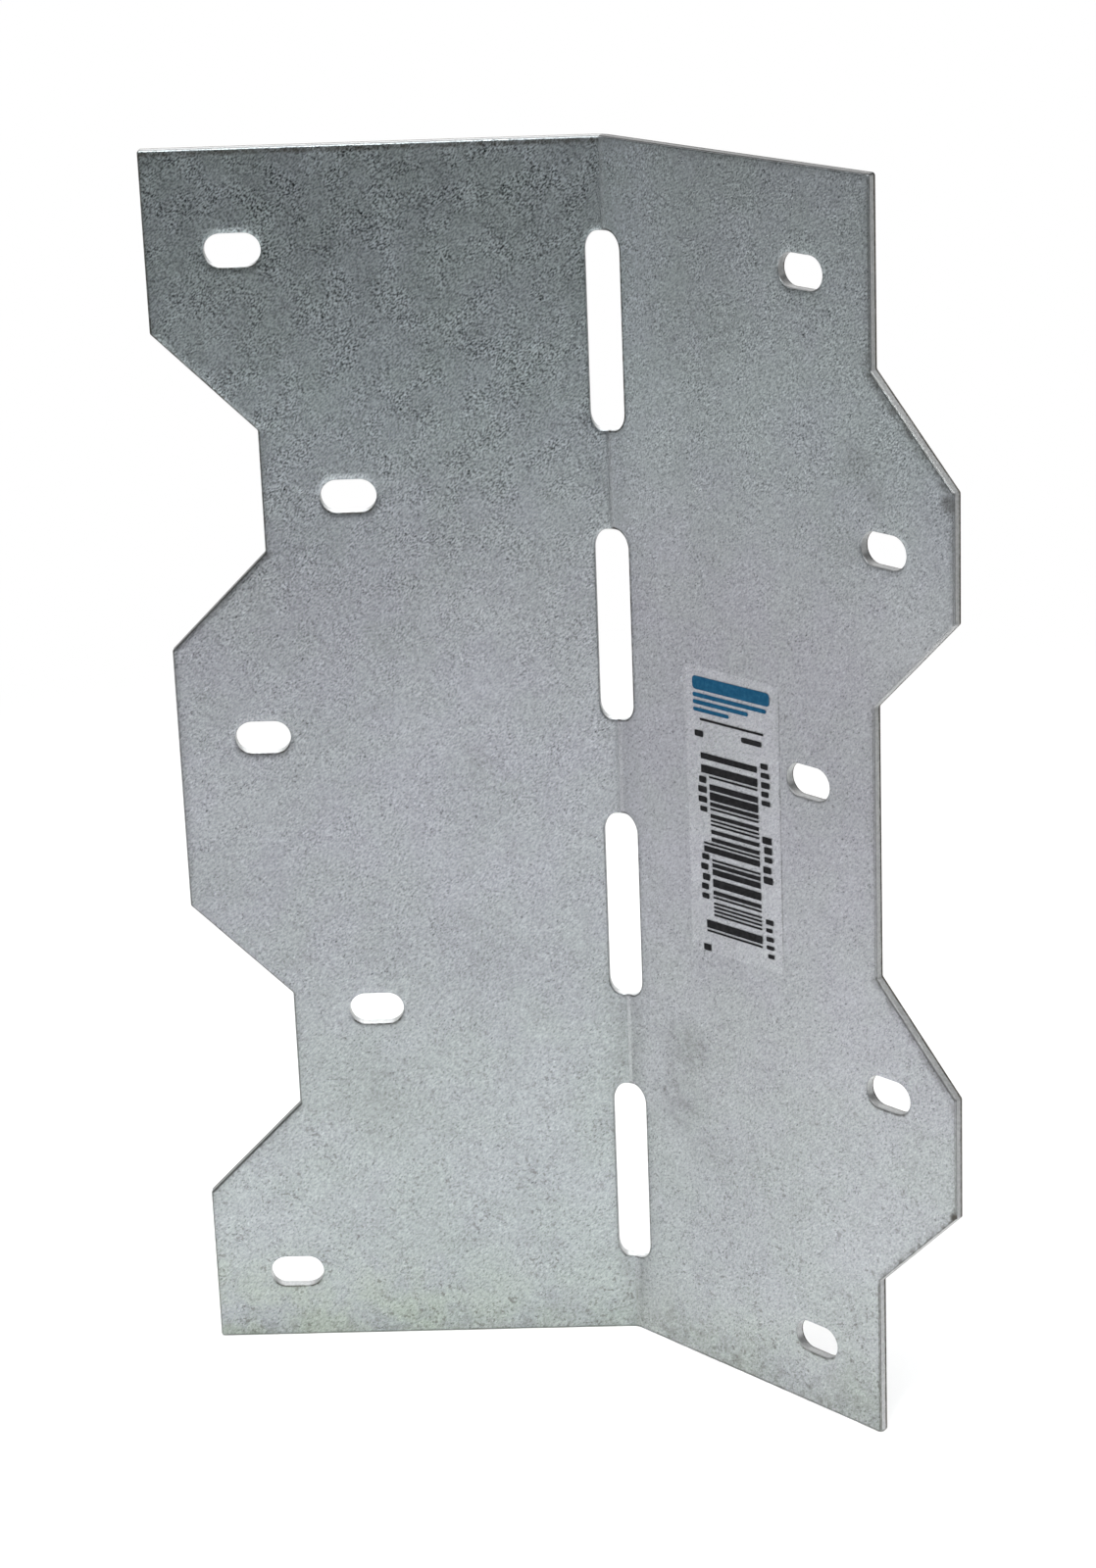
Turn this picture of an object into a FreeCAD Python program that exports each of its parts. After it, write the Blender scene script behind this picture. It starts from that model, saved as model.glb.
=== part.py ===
import FreeCAD, Part
import math
import os

# Folded framing angle: one strip of zinc-coated sheet steel, punched flat and
# folded once, with a thin clear label stuck on the nailing side of one leg.
#
# Frame, in millimetres: the fold stands along +Z. The origin is the foot of
# the heel, the line where the planes of the two back (outer) faces meet.
# Leg A runs from the heel along -X, with its back face in the plane y = 0.
# Leg B runs from the heel along +X and -Y. The nailing side is the inside of
# the angle, towards -Y.

IN = 25.4

# ---- driving dimensions ----------------------------------------------------
sheet = 1.2                      # 18 gauge with its zinc
fold_deg = 45.0                  # how far the sheet is bent from flat
bend_inner_r = 1.6               # inside radius of the fold
length = 6.375 * IN              # along the fold
leg_wide = 2.25 * IN             # heel to the free edge at a tab
leg_narrow = 1.75 * IN           # heel to the free edge between tabs
edge_shift = 0.75                # the stepped edge sits this much low on the blank
corner_r = 0.40                  # punched corners of the outline
roll_r = 0.28                    # rolled-over rim that the punch leaves on the nailing side
hole_roll_r = 0.14               # the same round the nail holes, where the punch is sharper

# stepped edge, from the top end: flat, slope, flat, slope ...
edge_runs = [0.875 * IN, 0.5 * IN, 0.625 * IN, 0.5 * IN, 1.375 * IN,
             0.5 * IN, 0.625 * IN, 0.5 * IN]

# nail holes: obround, long across the leg
hole_long = 7.1
hole_wide = 4.2                  # passes a 4.11 mm nail
hole_to_edge = 10.93             # hole centre to the free edge beside it
hole_heights = [0.375 * IN, 1.875 * IN, 3.375 * IN, 4.625 * IN, 5.875 * IN]

# slots along the fold, which leave narrow bridges to bend
slot_len = 25.1
slot_pitch = 1.5 * IN
slot_count = 4
slot_first = 10.78               # lower end of the lowest slot
slot_a = 2.62                    # heel to the slot's side wall on leg A
slot_b = 3.25                    # the same on leg B: the punching sits a little that way
slot_end = 2.35                  # height of the slots' rounded ends

# label on the nailing side of leg B
label_w = 0.625 * IN             # across the leg
label_h = 1.5 * IN               # along the fold
label_t = 0.08
label_r = 1.0                    # corner radius
label_u = 20.8                   # heel to the label's centre, along the leg
label_z = 77.95                  # height of the label's centre
label_tilt = 1.0                 # degrees, stuck on a little crooked

# ---- worked-out values -----------------------------------------------------
V = FreeCAD.Vector
phi = math.radians(fold_deg)
bend_outer_r = bend_inner_r + sheet
tangent = bend_outer_r * math.tan(phi / 2)      # heel to the end of the bend, on either leg

steps = []                                      # heights of the stepped edge's corners
h = length - edge_shift
for run in edge_runs:
    h -= run
    steps.append(h)

slots = [(slot_first + k * slot_pitch, slot_first + k * slot_pitch + slot_len)
         for k in range(slot_count)]


def rounded(points, r):
    """Closed wire through points (u, z), each corner that has r > 0 rounded."""
    n = len(points)
    edges = []
    ends = []
    for i in range(n):
        p = V(points[i][0], 0, points[i][1])
        ri = r[i]
        a = V(points[i - 1][0], 0, points[i - 1][1])
        b = V(points[(i + 1) % n][0], 0, points[(i + 1) % n][1])
        if ri <= 0:
            ends.append((p, p, None))
            continue
        da = (a - p).normalize()
        db = (b - p).normalize()
        half = math.acos(max(-1.0, min(1.0, da.dot(db)))) / 2
        back = ri / math.tan(half)
        mid = (da + db).normalize()
        centre = p + mid * (ri / math.sin(half))
        ends.append((p + da * back, p + db * back, centre - mid * ri))
    for i in range(n):
        s, e, m = ends[i]
        if m is not None:
            edges.append(Part.Arc(s, m, e).toShape())
        nxt = ends[(i + 1) % n][0]
        if (nxt - e).Length > 1e-6:
            edges.append(Part.LineSegment(e, nxt).toShape())
    return Part.Wire(edges)


def leg_points(wide_first):
    """Outline of one leg in (distance from the heel, height), from the foot of the
    fold out to the free edge, up it, and back down the fold."""
    wide, narrow = leg_wide, leg_narrow
    first, second = (wide, narrow) if wide_first else (narrow, wide)
    pts = [(tangent, 0.0), (first, 0.0)]
    rad = [0.0, corner_r]
    u_now, u_next = first, second
    up = list(reversed(steps))                  # eight corners, from the foot up
    for k in range(0, 8, 2):
        pts += [(u_now, up[k]), (u_next, up[k + 1])]
        rad += [corner_r, corner_r]
        u_now, u_next = u_next, u_now
    pts += [(u_now, length), (tangent, length)]
    rad += [corner_r, 0.0]
    return pts, rad


def slot_half(edge, z0, z1):
    """The part of a fold slot that lies on one leg: straight along its side wall and
    rounded off into the bend at both ends."""
    a, b = edge - tangent, slot_end
    low, high = V(tangent, 0, z0 + b), V(tangent, 0, z1 - b)
    inside = tangent - 1.0
    turn_low = Part.Ellipse(low + V(0, 0, -b), low + V(a, 0, 0), low)
    turn_high = Part.Ellipse(high + V(0, 0, b), high + V(a, 0, 0), high)
    edges = [Part.LineSegment(V(inside, 0, z0), V(tangent, 0, z0)).toShape(),
             Part.ArcOfEllipse(turn_low, 0, math.pi / 2).toShape(),
             Part.LineSegment(V(edge, 0, z0 + b), V(edge, 0, z1 - b)).toShape(),
             Part.ArcOfEllipse(turn_high, 0, math.pi / 2).toShape(),
             Part.LineSegment(V(tangent, 0, z1), V(inside, 0, z1)).toShape(),
             Part.LineSegment(V(inside, 0, z1), V(inside, 0, z0)).toShape()]
    return Part.Wire(Part.sortEdges(edges)[0])


def obround(u, z):
    """Nail hole outline in the leg's own plane."""
    r = hole_wide / 2
    f = hole_long / 2 - r
    a = Part.LineSegment(V(u - f, 0, z - r), V(u + f, 0, z - r)).toShape()
    b = Part.Arc(V(u + f, 0, z - r), V(u + f + r, 0, z), V(u + f, 0, z + r)).toShape()
    c = Part.LineSegment(V(u + f, 0, z + r), V(u - f, 0, z + r)).toShape()
    d = Part.Arc(V(u - f, 0, z + r), V(u - f - r, 0, z), V(u - f, 0, z - r)).toShape()
    return Part.Wire([a, b, c, d])


def leg(wide_first):
    """One flat leg in the XZ plane, along +X, back face at y = 0, nailing side at -Y."""
    pts, rad = leg_points(wide_first)
    face = Part.Face(rounded(pts, rad))
    solid = face.extrude(V(0, -sheet, 0))
    for k, z in enumerate(hole_heights):
        at_tab = (k % 2 == 0) == wide_first
        u = (leg_wide if at_tab else leg_narrow) - hole_to_edge
        punch = Part.Face(obround(u, z)).extrude(V(0, -sheet - 2, 0))
        punch.translate(V(0, 1, 0))
        solid = solid.cut(punch)
    for z0, z1 in slots:
        punch = Part.Face(slot_half(slot_a if wide_first else slot_b, z0, z1)).extrude(V(0, -sheet - 2, 0))
        punch.translate(V(0, 1, 0))
        solid = solid.cut(punch)
    return solid


def place_b(shape):
    """From the flat leg's plane to leg B: folded forward about the heel."""
    out = shape.copy()
    out.rotate(V(0, 0, 0), V(0, 0, 1), -fold_deg)
    return out


def place_a(shape):
    """From the flat leg's plane to leg A, which runs along -X."""
    return shape.mirror(V(0, 0, 0), V(1, 0, 0))


def bend_piece(z0, z1):
    """One bridge of the fold: a sector of a tube between the two legs."""
    c = V(-tangent, -bend_outer_r, 0)           # centre of the bend, in plan
    a0 = math.pi / 2
    a1 = a0 - phi
    am = (a0 + a1) / 2

    def pt(r, a):
        return V(c.x + r * math.cos(a), c.y + r * math.sin(a), z0)

    edges = [Part.Arc(pt(bend_outer_r, a0), pt(bend_outer_r, am), pt(bend_outer_r, a1)).toShape(),
             Part.LineSegment(pt(bend_outer_r, a1), pt(bend_inner_r, a1)).toShape(),
             Part.Arc(pt(bend_inner_r, a1), pt(bend_inner_r, am), pt(bend_inner_r, a0)).toShape(),
             Part.LineSegment(pt(bend_inner_r, a0), pt(bend_outer_r, a0)).toShape()]
    return Part.Face(Part.Wire(edges)).extrude(V(0, 0, z1 - z0))


def beside_hole(p):
    """True for a point on a leg that is within a few millimetres of a nail hole's centre."""
    for on_a in (True, False):
        u = -p.x if on_a else p.x * math.cos(phi) - p.y * math.sin(phi)
        for k, z in enumerate(hole_heights):
            at_tab = (k % 2 == 0) == on_a
            centre = (leg_wide if at_tab else leg_narrow) - hole_to_edge
            if abs(u - centre) < 5.0 and abs(p.z - z) < 4.0:
                return True
    return False


def rolled_edges(solid, round_holes):
    """Edges around the nailing side's faces that the punch has rolled over: those of
    the nail holes, or those of the outline and the slots."""
    picked = []

    def depth(p):
        # distance in from the back face, for a point on either flat leg
        n = V(math.sin(phi), math.cos(phi), 0)
        return min(-p.y, -(p.x * n.x + p.y * n.y))

    c = V(-tangent, -bend_outer_r, 0)
    for e in solid.Edges:
        pts = [e.valueAt(e.FirstParameter + f * (e.LastParameter - e.FirstParameter))
               for f in (0.0, 0.31, 0.5, 0.77, 1.0)]
        on_legs = all(abs(depth(p) - sheet) < 1e-4 for p in pts)
        on_bend = all(abs(math.hypot(p.x - c.x, p.y - c.y) - bend_inner_r) < 1e-4 for p in pts)
        if not (on_legs or on_bend):
            continue
        # leave out the seams where the bend runs smoothly into a leg
        z_run = abs(pts[0].z - pts[-1].z)
        at_seam = all(abs(math.hypot(p.x - c.x, p.y - c.y) - bend_inner_r) < 1e-3 for p in pts)
        if at_seam and z_run > 1e-3:
            continue
        if all(beside_hole(p) for p in pts) == round_holes:
            picked.append(e)
    return picked


# ---- the folded sheet ------------------------------------------------------
bracket = place_a(leg(True)).fuse(place_b(leg(False)))
lows = [0.0] + [z1 for z0, z1 in slots]
highs = [z0 for z0, z1 in slots] + [length]
for z0, z1 in zip(lows, highs):
    bracket = bracket.fuse(bend_piece(z0, z1))
bracket = bracket.removeSplitter()
if bracket.ShapeType != "Solid":
    bracket = bracket.Solids[0]
print("plain sheet: valid", bracket.isValid(), "volume", round(bracket.Volume, 2),
      "faces", len(bracket.Faces))
for radius, round_holes in ((hole_roll_r, True), (roll_r, False)):
    edges = rolled_edges(bracket, round_holes)
    print("rims to roll:", len(edges))
    bracket = bracket.makeFillet(radius, edges)
    if bracket.ShapeType != "Solid":
        bracket = bracket.Solids[0]
    print("rolled sheet: valid", bracket.isValid(), "volume", round(bracket.Volume, 2),
          "faces", len(bracket.Faces))

# ---- the label -------------------------------------------------------------
hw, hh = label_w / 2, label_h / 2
film = Part.Face(rounded([(-hw, -hh), (hw, -hh), (hw, hh), (-hw, hh)], [label_r] * 4))
film = film.extrude(V(0, -label_t, 0))
film.rotate(V(0, 0, 0), V(0, 1, 0), -label_tilt)
film.translate(V(label_u, -sheet, label_z))
label = place_b(film)
if label.ShapeType != "Solid":
    label = label.Solids[0]

os.makedirs("parts", exist_ok=True)
bracket.exportStep("parts/angle_bracket.step")
label.exportStep("parts/adhesive_label.step")
for name, s in (("angle_bracket", bracket), ("adhesive_label", label)):
    b = s.BoundBox
    print(name, "solids", len(s.Solids), "valid", s.isValid(), "volume mm3", round(s.Volume, 2),
          "box", [round(v, 3) for v in (b.XMin, b.YMin, b.ZMin, b.XMax, b.YMax, b.ZMax)])
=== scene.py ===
import math
import random

import bmesh
import bpy
from mathutils import Matrix, Vector


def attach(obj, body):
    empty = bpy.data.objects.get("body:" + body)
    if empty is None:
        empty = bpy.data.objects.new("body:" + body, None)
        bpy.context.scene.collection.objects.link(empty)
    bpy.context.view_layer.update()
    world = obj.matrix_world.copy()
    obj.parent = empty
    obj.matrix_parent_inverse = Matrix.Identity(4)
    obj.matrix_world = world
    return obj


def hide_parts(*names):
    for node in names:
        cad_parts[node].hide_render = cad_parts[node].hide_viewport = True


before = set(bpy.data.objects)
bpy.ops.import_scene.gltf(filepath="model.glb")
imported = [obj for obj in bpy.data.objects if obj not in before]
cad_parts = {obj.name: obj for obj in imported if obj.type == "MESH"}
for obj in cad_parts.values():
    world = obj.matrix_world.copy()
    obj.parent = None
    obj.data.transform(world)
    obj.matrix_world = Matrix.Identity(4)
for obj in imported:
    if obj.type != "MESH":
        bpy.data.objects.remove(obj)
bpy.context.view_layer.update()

MM = 0.001
scene = bpy.context.scene

# ---------------------------------------------------------------------------
# Camera: three quarters from above, on the nailing side
# ---------------------------------------------------------------------------
cam_data = bpy.data.cameras.new("camera")
cam_data.sensor_fit = "AUTO"
cam_data.sensor_width = 36.0
cam_data.lens = 3997.08 / 1600 * 36.0
cam_data.clip_start = 0.02
cam_data.clip_end = 50.0
cam = bpy.data.objects.new("camera", cam_data)
scene.collection.objects.link(cam)
right = Vector((0.999067, 0.022029, -0.037146))
down = Vector((-0.027747, -0.331671, -0.942987))
ahead = Vector((-0.033094, 0.943138, -0.330751))
at = Vector((6.935, -478.263, 245.576)) * MM
cam.matrix_world = Matrix((
    (right.x, -down.x, -ahead.x, at.x),
    (right.y, -down.y, -ahead.y, at.y),
    (right.z, -down.z, -ahead.z, at.z),
    (0, 0, 0, 1)))
scene.camera = cam
scene.view_settings.view_transform = "Standard"
scene.view_settings.look = "None"

# ---------------------------------------------------------------------------
# Floor and studio light
# ---------------------------------------------------------------------------
WORLD = 0.16                     # what lights the object from all round
BACKDROP = 1.00                  # what the backdrop shows beyond the floor
LIGHTS = [
    # name, place, aimed at, width, height, watts, spread in degrees
    ("light_over", (0.0, -0.10, 0.36), (0.0, -0.10, 0.0), 0.45, 0.30, 1.18, 180),
    ("light_back_near", (0.0, 0.42, 0.45), (0.0, 0.42, 0.0), 0.60, 0.50, 3.10, 180),
    ("light_back_far", (0.0, 1.15, 0.55), (0.0, 1.15, 0.0), 0.80, 1.00, 5.10, 180),
    ("light_floor_left", (-0.45, 0.06, 0.50), (-0.45, 0.06, 0.0), 0.25, 0.25, 0.38, 60),
    ("light_floor_far_left", (-0.80, 0.06, 0.50), (-0.80, 0.06, 0.0), 0.35, 0.30, 0.24, 60),
    ("light_floor_front", (0.0, -0.30, 0.35), (0.0, -0.30, 0.0), 0.30, 0.12, 0.18, 45),
    ("light_floor_near", (0.0, -0.12, 0.30), (0.0, -0.12, 0.0), 0.20, 0.15, 0.040, 60),
    ("light_foot", (-0.05, -0.16, 0.28), (-0.005, -0.02, 0.0), 0.10, 0.10, 0.048, 45),
]

world = bpy.data.worlds.new("studio")
world.use_nodes = True
nt = world.node_tree
nt.nodes["Background"].inputs["Color"].default_value = (1.0, 1.0, 1.0, 1.0)
nt.nodes["Background"].inputs["Strength"].default_value = WORLD
shown = nt.nodes.new("ShaderNodeBackground")
shown.inputs["Color"].default_value = (1.0, 1.0, 1.0, 1.0)
shown.inputs["Strength"].default_value = BACKDROP
pick = nt.nodes.new("ShaderNodeMixShader")
nt.links.new(nt.nodes.new("ShaderNodeLightPath").outputs["Is Camera Ray"], pick.inputs[0])
nt.links.new(nt.nodes["Background"].outputs[0], pick.inputs[1])
nt.links.new(shown.outputs[0], pick.inputs[2])
nt.links.new(pick.outputs[0], nt.nodes["World Output"].inputs["Surface"])
scene.world = world

for name, place, target, wide, high, watts, spread in LIGHTS:
    if watts <= 0.0:
        continue
    data = bpy.data.lights.new(name, "AREA")
    data.shape = "RECTANGLE"
    data.size = wide
    data.size_y = high
    data.energy = watts
    data.spread = math.radians(spread)
    lamp = bpy.data.objects.new(name, data)
    lamp.location = place
    lamp.rotation_mode = "QUATERNION"
    lamp.rotation_quaternion = (Vector(target) - Vector(place)).to_track_quat("-Z", "Y")
    lamp.visible_camera = False
    scene.collection.objects.link(lamp)


# ---------------------------------------------------------------------------
# Node helpers
# ---------------------------------------------------------------------------
class Tree:
    """Short names for the nodes of one material."""

    def __init__(self, name):
        self.mat = bpy.data.materials.new(name)
        self.mat.use_nodes = True
        self.nt = self.mat.node_tree
        self.nt.nodes.clear()
        self.out = self.nt.nodes.new("ShaderNodeOutputMaterial")

    def put(self, socket, value):
        if isinstance(value, bpy.types.NodeSocket):
            self.nt.links.new(value, socket)
        elif value is not None:
            socket.default_value = value

    def node(self, kind, **props):
        n = self.nt.nodes.new(kind)
        for k, v in props.items():
            setattr(n, k, v)
        return n

    def object_point(self):
        return self.node("ShaderNodeTexCoord").outputs["Object"]

    def object_normal(self):
        return self.node("ShaderNodeTexCoord").outputs["Normal"]

    def xyz(self, vec):
        n = self.node("ShaderNodeSeparateXYZ")
        self.put(n.inputs[0], vec)
        return n.outputs[0], n.outputs[1], n.outputs[2]

    def combine(self, x, y, z):
        n = self.node("ShaderNodeCombineXYZ")
        for s, v in zip(n.inputs, (x, y, z)):
            self.put(s, v)
        return n.outputs[0]

    def noise(self, vec, scale, detail=2.0, rough=0.5, distortion=0.0):
        n = self.node("ShaderNodeTexNoise", noise_dimensions="3D")
        self.put(n.inputs["Vector"], vec)
        n.inputs["Scale"].default_value = scale
        n.inputs["Detail"].default_value = detail
        n.inputs["Roughness"].default_value = rough
        n.inputs["Distortion"].default_value = distortion
        return n.outputs[0]

    def voronoi(self, vec, scale, feature="F1"):
        n = self.node("ShaderNodeTexVoronoi", feature=feature)
        self.put(n.inputs["Vector"], vec)
        n.inputs["Scale"].default_value = scale
        return n.outputs["Distance"], n.outputs["Color"]

    def math(self, op, a, b=None, c=None, clamp=False):
        n = self.node("ShaderNodeMath", operation=op, use_clamp=clamp)
        for s, v in zip(n.inputs, (a, b, c)):
            self.put(s, v)
        return n.outputs[0]

    def vmath(self, op, a, b=None):
        n = self.node("ShaderNodeVectorMath", operation=op)
        self.put(n.inputs[0], a)
        self.put(n.inputs[1], b)
        return n.outputs["Value"] if op in ("DOT_PRODUCT", "LENGTH", "DISTANCE") else n.outputs["Vector"]

    def scaled(self, vec, by):
        n = self.node("ShaderNodeVectorMath", operation="SCALE")
        self.put(n.inputs[0], vec)
        n.inputs["Scale"].default_value = by
        return n.outputs["Vector"]

    def shifted(self, vec, by):
        return self.vmath("ADD", vec, by)

    def ramp(self, value, a, b, c=0.0, d=1.0, smooth=True):
        n = self.node("ShaderNodeMapRange", interpolation_type="SMOOTHSTEP" if smooth else "LINEAR")
        n.clamp = True
        for s, v in zip(n.inputs, (value, a, b, c, d)):
            self.put(s, v)
        return n.outputs[0]

    def mix(self, fac, a, b, blend="MIX"):
        n = self.node("ShaderNodeMix", data_type="RGBA", blend_type=blend)
        self.put(n.inputs["Factor"], fac)
        self.put(n.inputs[6], a)
        self.put(n.inputs[7], b)
        return n.outputs[2]

    def blendf(self, fac, a, b):
        n = self.node("ShaderNodeMix", data_type="FLOAT")
        self.put(n.inputs["Factor"], fac)
        self.put(n.inputs[2], a)
        self.put(n.inputs[3], b)
        return n.outputs[0]

    def bump(self, height, strength, distance, normal=None):
        n = self.node("ShaderNodeBump")
        n.inputs["Strength"].default_value = strength
        n.inputs["Distance"].default_value = distance
        self.put(n.inputs["Height"], height)
        if normal is not None:
            self.put(n.inputs["Normal"], normal)
        return n.outputs[0]

    def principled(self, **sockets):
        n = self.node("ShaderNodeBsdfPrincipled")
        for k, v in sockets.items():
            self.put(n.inputs[k.replace("_", " ")], v)
        self.nt.links.new(n.outputs[0], self.out.inputs["Surface"])
        return n


# ---------------------------------------------------------------------------
# Zinc-coated sheet steel
# ---------------------------------------------------------------------------
# Smudges and painted shade on the nailing side: place in mm, radius in mm, how dark
SMUDGES_AND_SHADE = [
    ((7.2, -8.6, 44.0), 6.0, 0.22),
    ((6.4, -7.8, 36.0), 7.0, 0.18),
    ((8.8, -10.3, 31.0), 4.5, 0.10),
    ((29.0, -30.4, 127.5), 4.2, 0.14),
    ((31.2, -32.6, 124.0), 2.6, 0.12),
    ((28.0, -29.4, 117.0), 3.0, 0.08),
    ((-19.0, -1.2, 82.5), 2.4, 0.10),
    ((-33.5, -1.2, 57.0), 5.0, 0.07),
    ((-33.0, -1.2, 35.0), 9.0, 0.11),
    ((-20.0, -1.2, 55.5), 7.0, 0.05),
    ((5.0, -6.4, 2.5), 6.5, 0.20),
    ((-11.0, -1.2, 3.0), 4.5, 0.12),
    ((17.0, -18.4, 3.5), 5.0, 0.08),
    ((37.0, -38.4, 24.0), 4.0, 0.10),
    ((26.4, -28.1, 14.5), 9.0, 0.11),
    ((27.0, -28.4, 4.0), 8.0, 0.14),
    ((9.0, -10.4, 142.0), 15.0, 0.09),
    ((-44.0, -1.2, 142.0), 13.0, 0.09),
]


HOLES = (9.525, 47.625, 85.725, 117.475, 149.225)     # heights of the nail holes


def zinc_material():
    t = Tree("zinc_steel")
    p = t.scaled(t.object_point(), 1000.0)            # in mm
    n = t.object_normal()
    x, y, z = t.xyz(p)

    # where on the sheet: distance from the heel, from the back face, from the edges
    on_a = t.math("MULTIPLY", x, -1.0)
    along_b = t.math("MULTIPLY", t.math("SUBTRACT", x, y), 0.70711)
    across = t.math("MAXIMUM", on_a, along_b)
    on_b = t.math("GREATER_THAN", along_b, on_a)
    depth = t.math("MINIMUM", t.math("MULTIPLY", y, -1.0),
                   t.math("MULTIPLY", t.math("ADD", x, y), -0.70711))
    nailing = t.ramp(depth, 0.5, 0.7)
    notch = t.math("ADD",
                   t.math("SUBTRACT", t.ramp(z, 21.475, 34.175, smooth=False), t.ramp(z, 50.05, 62.75, smooth=False)),
                   t.math("SUBTRACT", t.ramp(z, 97.675, 110.375, smooth=False), t.ramp(z, 126.25, 138.95, smooth=False)))
    reach = t.blendf(on_b, t.math("MULTIPLY_ADD", notch, -12.7, 57.15), t.math("MULTIPLY_ADD", notch, 12.7, 44.45))
    slope = t.math("GREATER_THAN", t.math("MULTIPLY", notch, t.math("SUBTRACT", 1.0, notch)), 0.0005)
    to_free = t.math("MULTIPLY", t.math("SUBTRACT", reach, across), t.math("MULTIPLY_ADD", slope, -0.2929, 1.0))
    to_end = t.math("MINIMUM", z, t.math("SUBTRACT", 161.925, z))
    to_hole = None
    shade_below_holes = None
    for k, height in enumerate(HOLES):
        at = t.blendf(on_b, 46.22 if k % 2 == 0 else 33.52, 33.52 if k % 2 == 0 else 46.22)
        du = t.math("MAXIMUM", t.math("SUBTRACT", t.math("ABSOLUTE", t.math("SUBTRACT", across, at)), 1.45), 0.0)
        dz = t.math("SUBTRACT", z, height)
        far = t.math("SUBTRACT", t.vmath("LENGTH", t.combine(du, dz, 0.0)), 2.1)
        to_hole = far if to_hole is None else t.math("MINIMUM", to_hole, far)
        one = t.math("MULTIPLY", t.ramp(far, 0.42, 0.14), t.ramp(dz, -0.9, -1.9))
        shade_below_holes = one if shade_below_holes is None else t.math("MAXIMUM", shade_below_holes, one)
    slot_z = t.math("ABSOLUTE", t.math("WRAP", t.math("SUBTRACT", z, 23.33), 19.05, -19.05))
    slot_z = t.math("MAXIMUM", t.math("SUBTRACT", slot_z, 10.2), 0.0)
    slot_u = t.math("MAXIMUM", t.math("SUBTRACT", across, t.blendf(on_b, 0.27, 0.90)), 0.0)
    to_slot = t.math("SUBTRACT", t.vmath("LENGTH", t.combine(slot_u, slot_z, 0.0)), 2.35)

    # rolled faces of the sheet against the walls that the punch cut
    flat = t.math("MAXIMUM",
                  t.math("ABSOLUTE", t.vmath("DOT_PRODUCT", n, (0.0, 1.0, 0.0))),
                  t.math("ABSOLUTE", t.vmath("DOT_PRODUCT", n, (0.70711, 0.70711, 0.0))))
    cut = t.ramp(flat, 0.86, 0.76)
    rim = t.math("MULTIPLY", t.ramp(flat, 0.992, 0.95), t.math("SUBTRACT", 1.0, cut))
    rim = t.math("MULTIPLY", rim, t.math("MULTIPLY", t.ramp(across, 3.3, 3.6), t.ramp(z, 161.5, 161.1)))
    in_hole = t.ramp(to_hole, 0.8, 0.5)
    rim = t.math("MULTIPLY", rim, t.math("MULTIPLY_ADD", in_hole, -0.85, 1.0))

    # the sheet laid flat: q for broad patterns, g for the grain, drawn out on a slant
    s = t.math("MULTIPLY", across, t.math("MULTIPLY_ADD", on_b, 2.0, -1.0))
    q = t.combine(s, t.math("MULTIPLY", depth, 6.0), z)
    up = t.math("MULTIPLY", t.math("ADD", s, z), 0.45)
    over = t.math("MULTIPLY", t.math("SUBTRACT", z, s), 0.80)
    g = t.combine(up, t.math("MULTIPLY_ADD", depth, 6.0, 0.17), over)

    # zinc: fine grain with pits and glints, soft mottling, faint clouds of tone
    grain = t.noise(g, 2.7, 2.0, 0.6)
    speck = t.noise(t.shifted(g, (11.0, 4.1, 23.0)), 4.5, 1.0, 0.5)
    fine = t.noise(t.shifted(g, (17.0, 7.37, 3.0)), 4.6, 0.0)
    relief = t.noise(t.shifted(g, (6.0, 2.23, 14.0)), 4.3, 0.0)
    mottle = t.noise(q, 0.32, 3.0, 0.6)
    cloud = t.noise(q, 0.05, 3.0, 0.55)
    tint = t.noise(t.shifted(q, (31.0, 17.0, 5.0)), 0.11, 3.0, 0.6)
    base = t.mix(t.ramp(z, 28.0, 75.0), (0.346, 0.373, 0.377, 1.0), (0.347, 0.363, 0.385, 1.0))
    base = t.mix(t.ramp(z, 100.0, 135.0), base, (0.334, 0.374, 0.386, 1.0))
    base = t.mix(1.0, base, t.mix(t.ramp(tint, 0.36, 0.64), (0.995, 1.006, 0.990, 1.0), (1.004, 0.995, 1.011, 1.0)), "MULTIPLY")
    base = t.mix(1.0, base, t.mix(on_b, (1.0, 1.0, 1.0, 1.0), (1.022, 1.0, 1.004, 1.0)), "MULTIPLY")
    # painted light and shade: leg B lighter beside the fold and towards its top, leg A lighter at its foot and top, leg
    # B darker at its foot
    painted_light_gain = t.math("MULTIPLY", t.ramp(along_b, 20.0, 2.5, 0.0, 0.20), on_b)
    painted_light_gain = t.math("MULTIPLY", painted_light_gain, t.math("MULTIPLY", t.ramp(z, 4.0, 30.0, 0.45, 1.0), t.ramp(z, 130.0, 160.0, 1.0, 1.5)))
    painted_light_gain = t.math("ADD", painted_light_gain, 1.0)
    painted_light_gain = t.math("MULTIPLY", painted_light_gain, t.blendf(on_b, t.ramp(z, 16.0, 6.0, 1.0, 1.03), t.ramp(z, 17.0, 5.0, 1.0, 0.975)))
    painted_light_gain = t.math("MULTIPLY", painted_light_gain, t.blendf(on_b, t.ramp(z, 150.0, 160.0, 1.0, 1.06), 1.0))
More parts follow.
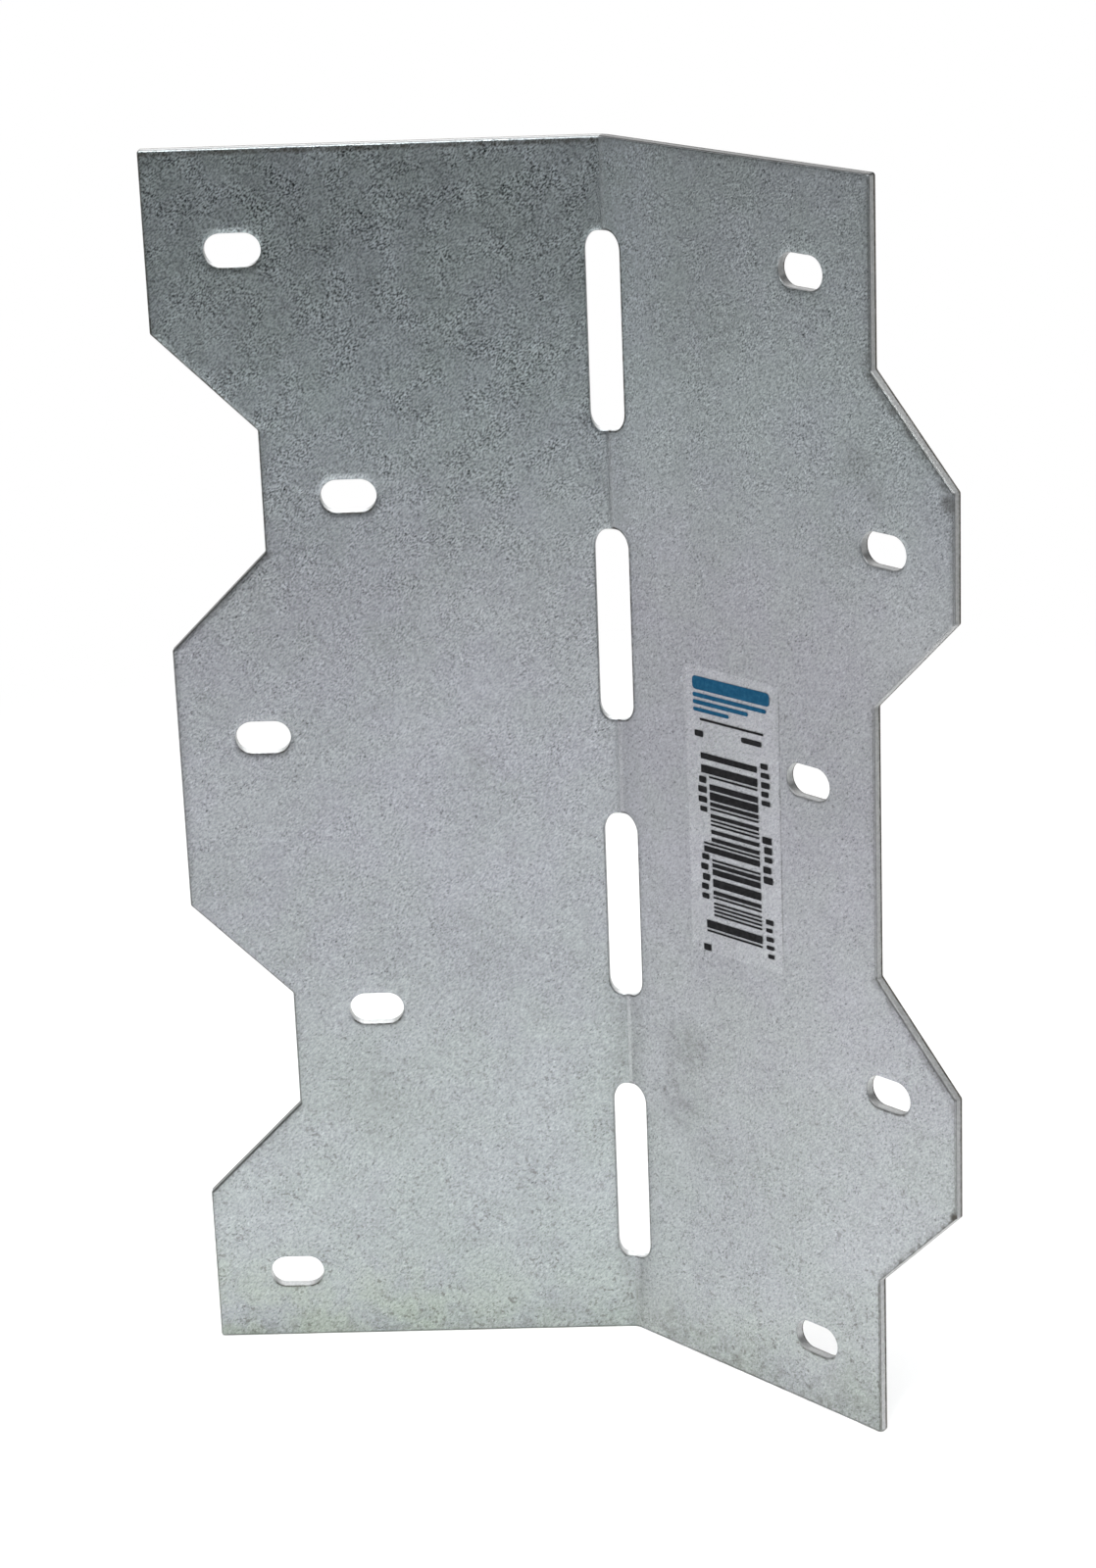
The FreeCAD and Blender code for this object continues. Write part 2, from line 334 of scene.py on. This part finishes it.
    # painted light: lighter where the label covers it
    under = t.math("MULTIPLY", t.ramp(t.math("ABSOLUTE", t.math("SUBTRACT", along_b, 20.8)), 7.95, 7.85),
                   t.ramp(t.math("ABSOLUTE", t.math("SUBTRACT", z, 77.95)), 19.1, 19.0))
    painted_light_gain = t.math("MULTIPLY", painted_light_gain, t.math("MULTIPLY_ADD", t.math("MULTIPLY", under, t.math("MULTIPLY", on_b, nailing)), 0.11, 1.0))
    base = t.mix(1.0, base, t.combine(painted_light_gain, painted_light_gain, painted_light_gain), "MULTIPLY")
    high = t.ramp(z, 85.0, 145.0)
    tone = t.math("MULTIPLY", t.ramp(grain, 0.28, 0.72, -0.18, 0.18, False), t.math("MULTIPLY_ADD", high, t.blendf(on_b, -0.45, 0.0), 1.0))
    tone = t.math("ADD", tone, t.ramp(speck, 0.28, 0.72, -0.12, 0.12, False))
    sharp = t.math("MULTIPLY_ADD", t.ramp(z, 30.0, 85.0, 0.0, 0.10), t.math("SUBTRACT", 1.0, on_b), 0.05)
    sharp = t.math("MULTIPLY_ADD", high, t.blendf(on_b, 0.35, 0.21), sharp)
    # the grain is stronger in some patches than in others
    patchy = t.ramp(t.noise(t.shifted(q, (13.0, 5.0, 27.0)), 0.30, 2.0, 0.6), 0.36, 0.64, 0.62, 1.42)
    sharp = t.math("MULTIPLY", sharp, patchy)
    tone = t.math("MULTIPLY_ADD", t.ramp(fine, 0.28, 0.72, -1.0, 1.0, False), sharp, tone)
    tone = t.math("ADD", tone, t.ramp(mottle, 0.30, 0.70, -0.055, 0.055, False))
    tone = t.math("ADD", tone, t.ramp(cloud, 0.30, 0.70, -0.05, 0.05, False))
    pit = t.ramp(speck, 0.36, 0.27, 0.0, 0.27)
    glint = t.ramp(speck, 0.66, 0.76, 0.0, 0.17)
    tone = t.math("MULTIPLY_ADD", t.math("SUBTRACT", glint, pit), patchy, tone)
    # painted sheen: two lighter patches on leg B
    tone = t.math("ADD", tone, t.ramp(t.vmath("DISTANCE", p, (36.0, -37.5, 111.0)), 13.0, 4.0, 0.0, 0.11))
    tone = t.math("ADD", tone, t.ramp(t.vmath("DISTANCE", p, (24.6, -26.3, 67.0)), 18.0, 6.0, 0.0, 0.07))
    tone = t.math("ADD", tone, 1.0)
    base = t.mix(1.0, base, t.combine(tone, tone, tone), "MULTIPLY")

    # dark flecks in drifts, thicker towards the foot
    fleck = t.ramp(t.noise(t.shifted(q, (3.0, 8.0, 2.0)), 1.75, 1.0, 0.5), 0.60, 0.72)
    drift = t.ramp(t.noise(t.shifted(q, (9.0, 1.0, 6.0)), 0.13, 2.0, 0.6), 0.40, 0.62)
    low = t.ramp(z, 90.0, 0.0, 0.04, 1.0)
    fleck = t.math("MULTIPLY", fleck, t.math("MULTIPLY", low, t.math("MULTIPLY_ADD", drift, 0.75, 0.25)))
    base = t.mix(t.math("MULTIPLY", fleck, 0.74), base, (0.150, 0.150, 0.146, 1.0))

    # smudges and painted shade, broken up
    broken = t.ramp(t.noise(t.shifted(q, (5.0, 2.0, 7.0)), 0.55, 3.0, 0.65), 0.30, 0.68)
    gritty = t.ramp(t.noise(t.shifted(q, (2.0, 6.0, 1.0)), 1.25, 2.0, 0.7), 0.34, 0.64)
    soil_and_shade = None
    for place, radius, dark in SMUDGES_AND_SHADE:
        far = t.vmath("DISTANCE", p, place)
        one = t.ramp(far, radius, radius * 0.15, 0.0, dark)
        soil_and_shade = one if soil_and_shade is None else t.math("MAXIMUM", soil_and_shade, one)
    # painted shade along the fold between the slots
    fold_shade = t.math("MULTIPLY", t.ramp(across, 4.2, 1.0, 0.0, 0.15), t.ramp(z, 105.0, 40.0, 0.1, 1.0))
    soil_and_shade = t.math("MAXIMUM", soil_and_shade, fold_shade)
    # along the foot
    soil_and_shade = t.math("MAXIMUM", soil_and_shade, t.math("MULTIPLY", t.ramp(z, t.blendf(on_b, 5.5, 7.5), 0.3, 0.0, t.blendf(on_b, 0.26, 0.32)), gritty))
    # painted shade in the crease at the foot of the fold
    crease_shade = t.math("MULTIPLY", t.ramp(t.math("ABSOLUTE", t.math("SUBTRACT", s, 0.3)), 0.9, 0.2), t.ramp(z, 17.0, 5.0, 0.0, 0.34))
    soil_and_shade = t.math("MAXIMUM", soil_and_shade, crease_shade)
    # beside the free edge
    soil_and_shade = t.math("MAXIMUM", soil_and_shade, t.ramp(t.math("MINIMUM", to_free, to_end), 1.4, 0.1, 0.0, 0.10))
    soil_and_shade = t.math("MULTIPLY", soil_and_shade, t.math("MULTIPLY_ADD", broken, 1.3, 0.15))
    # rubbed brown along the lower slope of leg B and its corner
    rub = t.math("MULTIPLY", t.ramp(z, 19.5, 24.0), t.ramp(z, 40.0, 33.5))
    rub = t.math("MULTIPLY", t.math("MULTIPLY", rub, on_b), t.ramp(to_free, 1.1, 0.1, 0.0, 0.66))
    spots = t.ramp(t.noise(t.shifted(q, (8.0, 3.0, 19.0)), 0.78, 2.0, 0.6), 0.44, 0.60, 0.12, 1.0)
    soil_and_shade = t.math("MAXIMUM", soil_and_shade, t.math("MULTIPLY", rub, spots))
    for place, radius, dark in (((39.40, -41.10, 34.20), 1.05, 0.92), ((39.05, -40.75, 124.9), 1.7, 0.50)):
        soil_and_shade = t.math("MAXIMUM", soil_and_shade, t.ramp(t.vmath("DISTANCE", p, place), radius, radius * 0.3, 0.0, dark))
    # and in dabs along the two upper slopes
    dabs = t.ramp(t.noise(t.shifted(q, (4.0, 9.0, 13.0)), 0.62, 2.0, 0.6), 0.42, 0.58, 0.25, 1.0)
    scuff = t.math("MAXIMUM", t.ramp(t.math("ABSOLUTE", t.math("SUBTRACT", z, 132.2)), 9.6, 7.6, 0.0, 0.52),
                   t.ramp(t.math("ABSOLUTE", t.math("SUBTRACT", z, 56.2)), 8.8, 6.8, 0.0, 0.34))
    scuff = t.math("MULTIPLY", t.math("MULTIPLY", scuff, on_b), t.ramp(to_free, 1.7, 0.3))
    soil_and_shade = t.math("MAXIMUM", soil_and_shade, t.math("MULTIPLY", scuff, dabs))
    # painted shade: a dark line round the rims
    under_b = t.math("MAXIMUM", t.math("MULTIPLY", t.ramp(z, 20.9, 21.6), t.ramp(z, 34.4, 33.8)),
                     t.math("MULTIPLY", t.ramp(z, 97.0, 97.8), t.ramp(z, 110.6, 110.0)))
    line_b = t.math("MULTIPLY", t.ramp(z, 40.0, 20.0, 0.28, 0.60), t.math("MULTIPLY_ADD", under_b, -0.65, 1.0))
    line = t.math("MULTIPLY", t.ramp(t.math("MINIMUM", to_free, to_end), 0.38, 0.12),
                  t.blendf(on_b, t.ramp(z, 90.0, 140.0, 0.45, 0.85), line_b))
    # painted shade along the bottom edge, where the sheet meets the floor
    line = t.math("MAXIMUM", line, t.ramp(z, 0.46, 0.16, 0.0, t.blendf(on_b, 0.50, 0.75)))
    # painted shade at the top rim: a dark line below leg A's bright rim, and leg B's rim darkened
    top_rim = t.ramp(z, 161.60, 161.72)
    line = t.math("MULTIPLY", line, t.math("MULTIPLY_ADD", top_rim, t.blendf(on_b, -1.0, 0.0), 1.0))
    line = t.math("MAXIMUM", line, t.math("MULTIPLY", t.ramp(z, 160.75, 161.35, 0.0, 0.70),
                                          t.math("MULTIPLY", t.math("SUBTRACT", 1.0, on_b), t.ramp(z, 161.68, 161.56))))
    line = t.math("MAXIMUM", line, t.math("MULTIPLY", t.math("MULTIPLY", top_rim, on_b), 0.45))
    line = t.math("MAXIMUM", line, t.ramp(to_hole, 0.30, 0.08, 0.0, 0.12))
    # painted shadow under the lower edge of each nail hole
    line = t.math("MAXIMUM", line, t.math("MULTIPLY", shade_below_holes, t.blendf(on_b, 0.80, t.ramp(z, 20.0, 100.0, 0.70, 0.35))))
    line = t.math("MAXIMUM", line, t.ramp(to_slot, t.blendf(on_b, 0.36, 0.50), t.blendf(on_b, 0.10, 0.27), 0.0,
                                          t.blendf(on_b, 0.32, t.ramp(z, 60.0, 118.0, 0.55, 0.90))))
    line = t.math("MULTIPLY", line, t.math("MULTIPLY_ADD", gritty, 0.7, 0.45))
    soil_and_shade = t.math("MAXIMUM", soil_and_shade, line)
    # dust held along the label's outer edge
    dust = t.math("MULTIPLY", t.ramp(t.math("ABSOLUTE", t.math("SUBTRACT", across, 28.86)), 0.16, 0.04), on_b)
    dust = t.math("MULTIPLY", dust, t.math("MULTIPLY", t.ramp(z, 60.0, 62.0), t.ramp(z, 97.0, 95.0)))
    dust = t.math("MULTIPLY", dust, t.math("MULTIPLY_ADD", gritty, 0.34, 0.05))
    soil_and_shade = t.math("MAXIMUM", soil_and_shade, dust)
    soil_and_shade = t.math("MULTIPLY", soil_and_shade, nailing, clamp=True)
    # darkened towards dark brown, in part for soil, in part as painted shade
    base = t.mix(soil_and_shade, base, t.mix(t.ramp(z, 9.0, 1.0), (0.070, 0.064, 0.054, 1.0), (0.074, 0.076, 0.055, 1.0)))

    # yellowed by handling at the foot of leg A
    warm = t.math("MULTIPLY", t.ramp(z, 17.0, 2.0, 0.0, 0.85), t.ramp(s, -2.0, -40.0, 0.35, 1.0))
    warm = t.math("MULTIPLY", warm, t.ramp(t.noise(q, 0.16, 3.0, 0.6), 0.32, 0.60))
    base = t.mix(warm, base, t.mix(1.0, base, (0.980, 1.02, 0.88, 1.0), "MULTIPLY"))

    # cut walls: burnished next to the nailing side, torn and brown next to the back
    ragged = t.math("MULTIPLY_ADD", t.noise(p, 0.9, 3.0, 0.6), 0.26, 0.16)
    ragged = t.math("MULTIPLY", ragged, t.math("MULTIPLY_ADD", in_hole, -0.50, 1.0))
    torn = t.ramp(t.math("SUBTRACT", depth, ragged), 0.09, -0.09)
    rise = t.vmath("DOT_PRODUCT", n, (0.0, 0.0, 1.0))
    ledge = t.ramp(rise, 0.25, 0.6)
    streak = t.noise(t.vmath("MULTIPLY", p, (3.0, 3.0, 3.0)), 1.0, 2.0, 0.6)
    shiny = t.mix(t.ramp(streak, 0.3, 0.7), (0.34, 0.35, 0.352, 1.0), (0.46, 0.468, 0.468, 1.0))
    brown = t.mix(t.ramp(streak, 0.3, 0.7), (0.050, 0.044, 0.037, 1.0), (0.125, 0.112, 0.094, 1.0))
    # painted highlight: no torn brown, and lighter, at the lower ends of the slots and of leg A's nail holes
    in_slot = t.math("MULTIPLY", t.ramp(across, 4.0, 3.7), t.ramp(to_end, 2.0, 3.0))
    torn = t.math("MULTIPLY", torn, t.math("SUBTRACT", 1.0, t.math("MAXIMUM", in_slot, t.math("MULTIPLY", t.math("MULTIPLY", in_hole, ledge), t.math("SUBTRACT", 1.0, on_b)))))
    wall = t.mix(torn, shiny, brown)
    # painted light and shade on the cut walls: upward walls darker, the top walls darker still on leg B, slot ends
    # lighter, hole walls set by height and leg
    wall_light_and_shade = t.ramp(rise, 0.2, 0.65, 1.0, 0.66)
    wall_light_and_shade = t.blendf(t.math("MULTIPLY", t.ramp(z, 161.0, 161.4), t.ramp(rise, 0.3, 0.6)), wall_light_and_shade, t.blendf(on_b, 0.80, 0.05))
    wall_light_and_shade = t.blendf(in_slot, wall_light_and_shade, t.blendf(ledge, 1.0, 1.35))
    hole_light_and_shade = t.blendf(on_b, t.ramp(z, 5.0, 80.0, 0.90, 1.35), t.ramp(z, 30.0, 140.0, 0.46, 0.30))
    wall_light_and_shade = t.blendf(in_hole, wall_light_and_shade, t.blendf(ledge, t.ramp(z, 50.0, 150.0, 1.35, 0.95), hole_light_and_shade))
    wall = t.mix(1.0, wall, t.combine(wall_light_and_shade, wall_light_and_shade, wall_light_and_shade), "MULTIPLY")
    # painted shade: the rolled rims darkened towards brown
    base = t.mix(t.math("MULTIPLY", rim, 0.36), base, (0.075, 0.068, 0.058, 1.0))
    base = t.mix(cut, base, wall)

    rough = t.math("ADD", t.ramp(mottle, 0.3, 0.7, -0.035, 0.035, False), t.ramp(grain, 0.3, 0.7, 0.35, 0.29, False))
    rough = t.math("MULTIPLY_ADD", soil_and_shade, 0.25, rough)
    rough = t.blendf(cut, rough, t.blendf(torn, 0.42, 0.65))
    metal = t.math("MULTIPLY_ADD", cut, -0.70, 1.0)

    # relief in mm: the zinc's own, and the face drawn down beside every punched edge
    near = t.math("MINIMUM", t.math("MINIMUM", to_free, to_end), t.math("MINIMUM", to_hole, to_slot))
    drawn = t.ramp(near, 1.0, 0.0, 0.0, 1.0, False)
    drawn = t.math("MULTIPLY", t.math("MULTIPLY", drawn, drawn), t.ramp(depth, 1.0, 1.12))
    drawn = t.math("MULTIPLY", drawn, t.blendf(on_b, 0.10, t.ramp(z, 159.5, 160.5, 0.045, 0.015)))
    height = t.math("SUBTRACT", t.math("MULTIPLY", relief, 0.018), drawn)
    t.principled(Base_Color=base, Metallic=metal, Roughness=rough, Normal=t.bump(height, 1.0, 0.001))
    return t.mat


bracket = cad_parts["angle_bracket"]
zinc = zinc_material()
bracket.data.materials.clear()
bracket.data.materials.append(zinc)

# ---------------------------------------------------------------------------
# Label: clear film with generic print, on the nailing side of leg B
# ---------------------------------------------------------------------------
SHEET = 1.2
LABEL_W, LABEL_H, LABEL_T, LABEL_R = 15.875, 38.1, 0.08, 1.0
LABEL_U, LABEL_Z, LABEL_TILT = 20.8, 77.95, math.radians(1.0)


def on_label(a, b, h):
    """Row-frame point in metres for (across, up, off the sheet) in mm, from the label's centre."""
    u = LABEL_U + a * math.cos(LABEL_TILT) - b * math.sin(LABEL_TILT)
    z = LABEL_Z + a * math.sin(LABEL_TILT) + b * math.cos(LABEL_TILT)
    s = math.sqrt(0.5)
    off = SHEET + h
    return Vector((u * s - off * s, -u * s - off * s, z)) * MM


def rounded_outline(a0, b0, a1, b1, r, steps=6):
    """Corner-rounded rectangle, anticlockwise in (across, up)."""
    if r <= 0:
        return [(a0, b0), (a1, b0), (a1, b1), (a0, b1)]
    pts = []
    for ca, cb, start in ((a1 - r, b0 + r, -90), (a1 - r, b1 - r, 0), (a0 + r, b1 - r, 90), (a0 + r, b0 + r, 180)):
        for k in range(steps + 1):
            w = math.radians(start + 90 * k / steps)
            pts.append((ca + r * math.cos(w), cb + r * math.sin(w)))
    return pts


def add_slab(bm, outline, low, high, index=0):
    """Closed thin slab on the label's plane, from low to high off the sheet, in mm."""
    top = [bm.verts.new(on_label(a, b, high)) for a, b in outline]
    bottom = [bm.verts.new(on_label(a, b, low)) for a, b in outline]
    faces = [bm.faces.new(top), bm.faces.new(list(reversed(bottom)))]
    n = len(outline)
    for k in range(n):
        faces.append(bm.faces.new((top[k], bottom[k], bottom[(k + 1) % n], top[(k + 1) % n])))
    for f in faces:
        f.material_index = index
    return faces


def finished(name, bm, materials):
    bmesh.ops.recalc_face_normals(bm, faces=bm.faces)
    mesh = bpy.data.meshes.new(name)
    bm.to_mesh(mesh)
    bm.free()
    for m in materials:
        mesh.materials.append(m)
    obj = bpy.data.objects.new(name, mesh)
    scene.collection.objects.link(obj)
    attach(obj, "root")
    return obj


def film_material():
    t = Tree("label_film")
    p = t.scaled(t.object_point(), 1000.0)
    haze = t.noise(p, 0.35, 3.0, 0.6)
    tone = t.mix(t.ramp(haze, 0.3, 0.7), (0.66, 0.67, 0.70, 1.0), (0.76, 0.77, 0.79, 1.0))
    rough = t.ramp(haze, 0.3, 0.7, 0.30, 0.42, False)
    ripple = t.bump(t.noise(p, 0.22, 2.0, 0.5), 0.5, 0.0003)
    t.principled(Base_Color=tone, Roughness=rough, Alpha=0.10, Normal=ripple)
    return t.mat


def ink_material(name, dark, pale):
    t = Tree(name)
    p = t.scaled(t.object_point(), 1000.0)
    worn = t.ramp(t.noise(p, 1.6, 3.0, 0.65), 0.35, 0.80)
    tone = t.mix(worn, dark, pale)
    rough = t.ramp(worn, 0.0, 1.0, 0.45, 0.60, False)
    t.principled(Base_Color=tone, Roughness=rough, Specular_IOR_Level=0.08)
    return t.mat


bm = bmesh.new()
add_slab(bm, rounded_outline(-LABEL_W / 2, -LABEL_H / 2, LABEL_W / 2, LABEL_H / 2, LABEL_R, 8), 0.012, LABEL_T)
film = finished("label_film", bm, [film_material()])
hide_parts("adhesive_label")

INK_LOW, INK_HIGH = LABEL_T - 0.01, LABEL_T + 0.008
rng = random.Random(20)
bm = bmesh.new()


def block(u0, z0, u1, z1, r=0.0):
    add_slab(bm, rounded_outline(u0 - LABEL_U, z0 - LABEL_Z, u1 - LABEL_U, z1 - LABEL_Z, r, 3), INK_LOW, INK_HIGH)


# bar field: plain bars of uneven width
pitch = 0.2647
at_z = 85.75
rows = []
while at_z > 60.9:
    bar = pitch * rng.choice((1, 1, 1, 2, 2, 3, 4))
    gap = pitch * rng.choice((1, 1, 1, 2, 2, 3))
    rows.append((at_z - bar, at_z))
    at_z -= bar + gap
count = len(rows)
for k, (z0, z1) in enumerate(rows):
    long_bar = k in (0, 1, count // 2 - 1, count // 2, count - 2, count - 1)
    block(15.4 if long_bar else 16.75, z0, 25.1, z1)
# rule under the colour band
block(15.5, 90.0, 26.4, 90.3)


def run_of_blocks(u0, u1, z_top, z_end, cell, fill):
    """A line of small blocks where a label has small print."""
    zz = z_top
    while zz - cell * 0.9 > z_end:
        w = cell * fill * rng.uniform(0.82, 1.08)
        low, high = rng.choice(((0.0, 1.0), (0.0, 1.0), (0.16, 1.0), (0.0, 0.84)))
        block(u0 + (u1 - u0) * low, zz - w, u0 + (u1 - u0) * high, zz, 0.14)
        zz -= cell


run_of_blocks(14.5, 15.95, 88.6, 87.2, 1.5, 0.60)
run_of_blocks(14.75, 16.2, 82.6, 76.2, 1.34, 0.62)
run_of_blocks(14.75, 16.2, 72.2, 65.6, 1.34, 0.62)
run_of_blocks(14.7, 16.0, 59.9, 58.6, 1.4, 0.60)
run_of_blocks(25.75, 27.2, 86.4, 80.2, 1.22, 0.60)
run_of_blocks(25.65, 27.25, 76.75, 70.0, 1.32, 0.66)
run_of_blocks(25.8, 27.1, 65.75, 59.9, 1.16, 0.56)
block(22.6, 88.45, 26.0, 89.15, 0.2)
black = ink_material("ink_black", (0.006, 0.006, 0.007, 1.0), (0.022, 0.022, 0.024, 1.0))
ink = finished("label_print", bm, [black])

bm = bmesh.new()
block(14.4, 94.0, 27.6, 95.75, 0.5)
block(14.4, 93.0, 27.0, 93.55, 0.25)
block(14.4, 92.05, 23.9, 92.6, 0.25)
block(14.4, 91.1, 20.6, 91.6, 0.23)
blue = ink_material("ink_blue", (0.004, 0.058, 0.125, 1.0), (0.018, 0.100, 0.185, 1.0))
band = finished("label_colour_band", bm, [blue])

# ---------------------------------------------------------------------------
# Floor
# ---------------------------------------------------------------------------
bm = bmesh.new()
bmesh.ops.create_circle(bm, cap_ends=True, radius=4.0, segments=96)
floor_mesh = bpy.data.meshes.new("floor")
bm.to_mesh(floor_mesh)
bm.free()
floor = bpy.data.objects.new("floor", floor_mesh)
scene.collection.objects.link(floor)
# white paper near the object that runs out into the backdrop further off
t = Tree("floor_white")
paper = t.principled(Base_Color=(0.92, 0.92, 0.92, 1.0), Roughness=0.9, Specular_IOR_Level=0.1)
glow = t.node("ShaderNodeEmission")
glow.inputs["Strength"].default_value = BACKDROP
out_to = t.ramp(t.vmath("LENGTH", t.object_point()), 0.07, 0.32)
out_to = t.math("MULTIPLY", out_to, t.node("ShaderNodeLightPath").outputs["Is Camera Ray"])
run_out = t.node("ShaderNodeMixShader")
t.put(run_out.inputs[0], out_to)
t.put(run_out.inputs[1], paper.outputs[0])
t.put(run_out.inputs[2], glow.outputs[0])
t.nt.links.new(run_out.outputs[0], t.out.inputs["Surface"])
floor_mesh.materials.append(t.mat)
